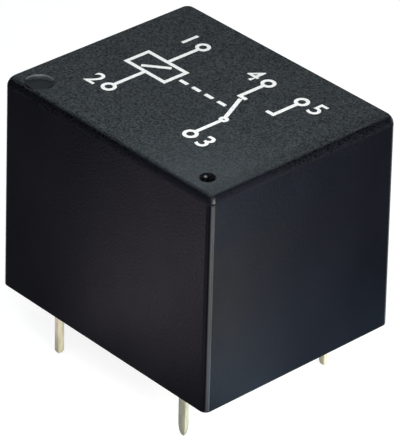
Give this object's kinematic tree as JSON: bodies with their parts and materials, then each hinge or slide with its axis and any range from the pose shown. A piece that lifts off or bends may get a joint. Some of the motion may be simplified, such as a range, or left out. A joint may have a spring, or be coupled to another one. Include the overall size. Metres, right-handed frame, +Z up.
{
  "type": "pcb power relay",
  "caption": "Sealed cube-shaped power relay for printed circuit boards, with solder pins below and a coil, rocking armature and changeover contact inside.",
  "frame": {"origin": "middle of the seating plane, where the case's rim meets the circuit board", "axes": "+X along the case from the coil end to the contact end, +Z up from the board, pins along -Z"},
  "size_m": [0.0194, 0.0156, 0.0196],
  "materials": {
    "case_plastic": "fine spark-eroded grain on the top, satin sides",
    "base_plastic": "moulded, satin",
    "resin": "poured and cured, glossy",
    "bobbin_plastic": "moulded, satin",
    "copper_wire": "enamelled copper wire",
    "iron": "zinc-plated soft iron",
    "spring_bronze": "rolled bronze strip",
    "tinned": "dipped in tin, dull and slightly uneven",
    "contact_silver": "silver alloy, satin"
  },
  "bodies": {
    "frame": {"cover": "case_plastic", "base": "base_plastic", "sealing_resin": "resin", "bobbin": "bobbin_plastic", "coil_winding": "copper_wire", "core": "iron", "yoke": "iron", "spring_rivets": "iron", "common_rivet": "iron", "nc_terminal": "tinned", "no_terminal": "tinned", "common_terminal": "tinned", "coil_terminal_near": "tinned", "coil_terminal_far": "tinned", "solder_joints": "tinned", "nc_contact": "contact_silver", "no_contact": "contact_silver"},
    "armature_unit": {"armature": "iron", "contact_spring": "spring_bronze", "armature_rivets": "iron", "moving_contact": "contact_silver"}
  },
  "joints": [
    {"name": "armature_pivot", "type": "hinge", "parent": "frame", "child": "armature_unit", "pos_m": [-0.00744, 0, 0.01032], "axis": [0, 1, 0], "range_deg": [0, 3], "stiffness_Nm_per_rad": 0.02, "springref_deg": -5.73, "deforming": ["contact_spring"]}
  ]
}
